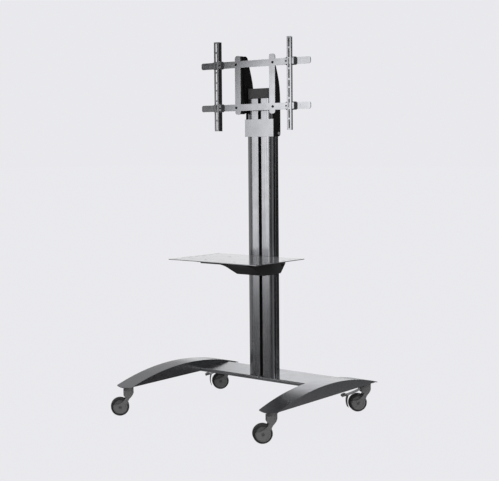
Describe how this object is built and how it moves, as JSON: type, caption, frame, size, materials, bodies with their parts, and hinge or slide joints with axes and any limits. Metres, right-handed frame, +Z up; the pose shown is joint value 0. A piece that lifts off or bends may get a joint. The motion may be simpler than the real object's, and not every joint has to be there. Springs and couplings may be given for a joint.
{
  "type": "mobile tv stand",
  "caption": "Wheeled floor stand for a flat screen: bowed feet on swivelling castors, slotted column, height-adjustable shelf and a tilting head with sliding screen adapters.",
  "frame": {"origin": "on the floor, under the middle of the bounding box (in X and Y) with the castors trailing as stored", "axes": "+Z up; the front, where the screen hangs and the shelf reaches out, faces -Y; +X is to the viewer's right seen from the front"},
  "size_m": [0.9762, 0.8276, 1.7229],
  "materials": {
    "foot_paint": "satin mid grey",
    "bar_paint": "smooth light grey",
    "column_aluminium": "satin anodised, drawn along its length",
    "cap_plastic": "matt dark grey",
    "black_paint": "fine textured black",
    "silver_paint": "satin silver",
    "shelf_paint": "glossy light grey",
    "fork_plastic": "matt dark grey",
    "tyre": "matt",
    "hub_plastic": "matt mid grey",
    "steel": "bright zinc plated",
    "dark_screw": "blackened"
  },
  "bodies": {
    "base": {"base_crossbar": "bar_paint", "leg_left": "foot_paint", "leg_right": "foot_paint", "column": "column_aluminium", "column_top_cap": "cap_plastic", "caster_mount_front_left": "steel", "caster_mount_front_right": "steel", "caster_mount_rear_left": "steel", "caster_mount_rear_right": "steel"},
    "swivel_front_left": {"caster_fork_front_left": "fork_plastic", "caster_axle_front_left": "dark_screw"},
    "wheel_front_left": {"wheel_hub_front_left": "hub_plastic", "tyre_front_left": "tyre"},
    "swivel_front_right": {"caster_fork_front_right": "fork_plastic", "caster_axle_front_right": "dark_screw"},
    "wheel_front_right": {"wheel_hub_front_right": "hub_plastic", "tyre_front_right": "tyre"},
    "swivel_rear_left": {"caster_fork_rear_left": "fork_plastic", "caster_axle_rear_left": "dark_screw"},
    "wheel_rear_left": {"wheel_hub_rear_left": "hub_plastic", "tyre_rear_left": "tyre"},
    "brake_rear_left": {"brake_lever_rear_left": "steel", "brake_pad_rear_left": "fork_plastic"},
    "swivel_rear_right": {"caster_fork_rear_right": "fork_plastic", "caster_axle_rear_right": "dark_screw"},
    "wheel_rear_right": {"wheel_hub_rear_right": "hub_plastic", "tyre_rear_right": "tyre"},
    "brake_rear_right": {"brake_lever_rear_right": "steel", "brake_pad_rear_right": "fork_plastic"},
    "shelf": {"shelf_plate": "shelf_paint", "shelf_bracket": "black_paint", "shelf_rear_clamp": "black_paint", "shelf_clamp_bolt": "dark_screw", "shelf_screw_1": "dark_screw", "shelf_screw_2": "dark_screw"},
    "carriage": {"carriage_front_cover": "silver_paint", "carriage_side_plate_left": "black_paint", "carriage_side_plate_right": "black_paint", "carriage_guide_left": "cap_plastic", "carriage_guide_right": "cap_plastic", "carriage_clamp_screw_left": "steel", "carriage_clamp_screw_right": "steel", "tilt_pivot_bolt_left": "dark_screw", "tilt_pivot_bolt_right": "dark_screw"},
    "tilt_frame": {"rail_upper": "silver_paint", "rail_lower": "silver_paint", "tilt_arm_left": "black_paint", "tilt_arm_right": "black_paint", "upright_left": "silver_paint", "upright_right": "silver_paint", "rail_bolt_upper_left": "dark_screw", "rail_bolt_upper_right": "dark_screw", "rail_bolt_lower_left": "dark_screw", "rail_bolt_lower_right": "dark_screw"},
    "adapter_left": {"screen_adapter_left": "silver_paint", "rail_clamp_lower_left": "silver_paint", "rail_clamp_upper_left": "silver_paint"},
    "adapter_right": {"screen_adapter_right": "silver_paint", "rail_clamp_lower_right": "silver_paint", "rail_clamp_upper_right": "silver_paint"}
  },
  "joints": [
    {"name": "caster_swivel_front_left", "type": "hinge", "parent": "base", "child": "swivel_front_left", "pos_m": [-0.39526, -0.3447, 0.1165], "axis": [0, 0, 1], "continuous": true},
    {"name": "wheel_spin_front_left", "type": "hinge", "parent": "swivel_front_left", "child": "wheel_front_left", "pos_m": [-0.42274, -0.37376, 0.042], "axis": [0.7266, -0.6871, 0], "continuous": true},
    {"name": "caster_swivel_front_right", "type": "hinge", "parent": "base", "child": "swivel_front_right", "pos_m": [0.44014, -0.3447, 0.1165], "axis": [0, 0, 1], "continuous": true},
    {"name": "wheel_spin_front_right", "type": "hinge", "parent": "swivel_front_right", "child": "wheel_front_right", "pos_m": [0.41265, -0.37376, 0.042], "axis": [0.7266, -0.6871, 0], "continuous": true},
    {"name": "caster_swivel_rear_left", "type": "hinge", "parent": "base", "child": "swivel_rear_left", "pos_m": [-0.39526, 0.3763, 0.1165], "axis": [0, 0, 1], "continuous": true},
    {"name": "wheel_spin_rear_left", "type": "hinge", "parent": "swivel_rear_left", "child": "wheel_rear_left", "pos_m": [-0.42274, 0.34724, 0.042], "axis": [0.7266, -0.6871, 0], "continuous": true},
    {"name": "brake_press_rear_left", "type": "hinge", "parent": "swivel_rear_left", "child": "brake_rear_left", "pos_m": [-0.41519, 0.35523, 0.101], "axis": [0.7266, -0.6871, 0], "range_deg": [0, 5]},
    {"name": "caster_swivel_rear_right", "type": "hinge", "parent": "base", "child": "swivel_rear_right", "pos_m": [0.44014, 0.3763, 0.1165], "axis": [0, 0, 1], "continuous": true},
    {"name": "wheel_spin_rear_right", "type": "hinge", "parent": "swivel_rear_right", "child": "wheel_rear_right", "pos_m": [0.41265, 0.34724, 0.042], "axis": [0.7266, -0.6871, 0], "continuous": true},
    {"name": "brake_press_rear_right", "type": "hinge", "parent": "swivel_rear_right", "child": "brake_rear_right", "pos_m": [0.42021, 0.35523, 0.101], "axis": [0.7266, -0.6871, 0], "range_deg": [0, 5]},
    {"name": "shelf_height", "type": "slide", "parent": "base", "child": "shelf", "axis": [0, 0, 1], "range_m": [-0.35, 0.15]},
    {"name": "carriage_height", "type": "slide", "parent": "base", "child": "carriage", "axis": [0, 0, 1], "range_m": [-0.38, 0]},
    {"name": "head_tilt", "type": "hinge", "parent": "carriage", "child": "tilt_frame", "pos_m": [0.02244, 0.1128, 1.5149], "axis": [1, 0, 0], "range_deg": [-5, 12]},
    {"name": "adapter_slide_left", "type": "slide", "parent": "tilt_frame", "child": "adapter_left", "axis": [1, 0, 0], "range_m": [-0.075, 0.065]},
    {"name": "adapter_slide_right", "type": "slide", "parent": "tilt_frame", "child": "adapter_right", "axis": [1, 0, 0], "range_m": [-0.065, 0.075]}
  ]
}
